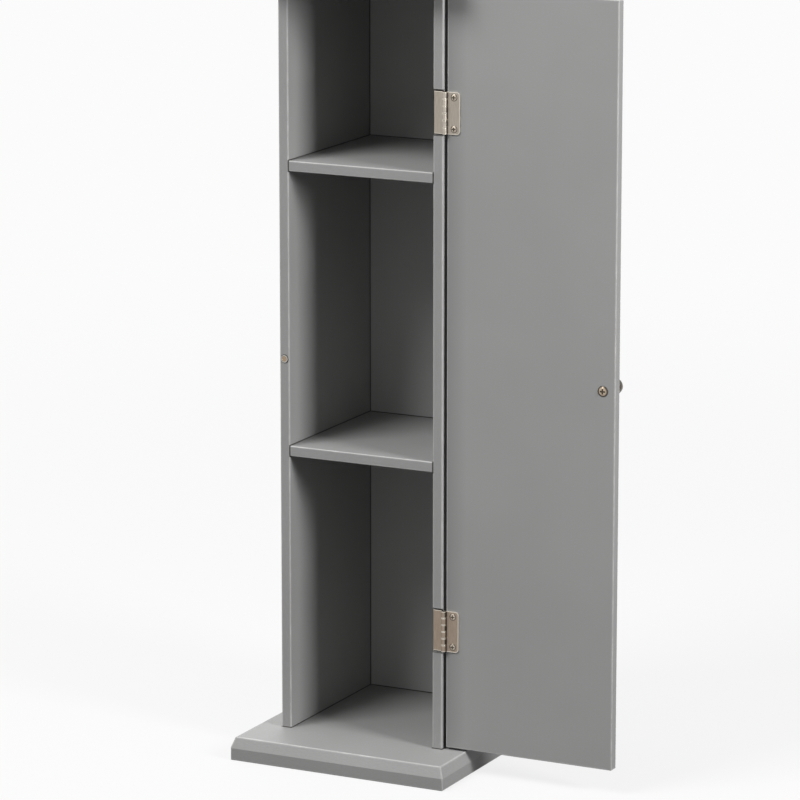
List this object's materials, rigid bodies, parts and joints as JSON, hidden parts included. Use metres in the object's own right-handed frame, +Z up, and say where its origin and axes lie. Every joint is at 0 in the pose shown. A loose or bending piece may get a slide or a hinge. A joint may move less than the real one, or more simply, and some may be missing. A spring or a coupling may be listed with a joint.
{
  "type": "toilet roll storage cabinet",
  "caption": "Slim freestanding bathroom cabinet for spare toilet rolls, with fixed shelves and a hinged door that is shown swung fully open.",
  "frame": {"origin": "centre of the base board's underside, on the floor", "axes": "+Z up, -Y towards the front (the open side), +X towards the hinge side"},
  "size_m": [0.3308, 0.2011, 0.683],
  "materials": {
    "grey_paint": "satin grey lacquer on fibreboard",
    "satin_nickel": "satin nickel plate",
    "knob_nickel": "dark nickel, satin polished",
    "zinc_steel": "zinc plated screws",
    "magnet_nickel": "nickel plated magnet face",
    "beech": "bare beech dowel"
  },
  "bodies": {
    "carcass": {"base_board": "grey_paint", "base_screws": "zinc_steel", "base_dowels": "beech", "left_side_panel": "grey_paint", "right_side_panel": "grey_paint", "lower_shelf": "grey_paint", "lower_shelf_screws": "zinc_steel", "upper_shelf": "grey_paint", "upper_shelf_screws": "zinc_steel", "top_panel": "grey_paint", "top_panel_screws": "zinc_steel", "cap_board": "grey_paint", "cap_screws": "zinc_steel", "back_panel": "grey_paint", "back_panel_screws": "zinc_steel", "catch_magnet_cup": "satin_nickel", "catch_magnet": "magnet_nickel", "lower_hinge_frame_leaf": "satin_nickel", "lower_hinge_pin": "satin_nickel", "lower_hinge_frame_screws": "satin_nickel", "upper_hinge_frame_leaf": "satin_nickel", "upper_hinge_pin": "satin_nickel", "upper_hinge_frame_screws": "satin_nickel"},
    "door": {"door_panel": "grey_paint", "lower_hinge_door_leaf": "satin_nickel", "lower_hinge_door_screws": "satin_nickel", "upper_hinge_door_leaf": "satin_nickel", "upper_hinge_door_screws": "satin_nickel", "door_knob": "knob_nickel", "knob_screw": "satin_nickel"}
  },
  "joints": [
    {"name": "door_hinge", "type": "hinge", "parent": "carcass", "child": "door", "pos_m": [0.0774, -0.0521, 0.3415], "axis": [0, 0, -1], "range_deg": [-12, 180]}
  ]
}
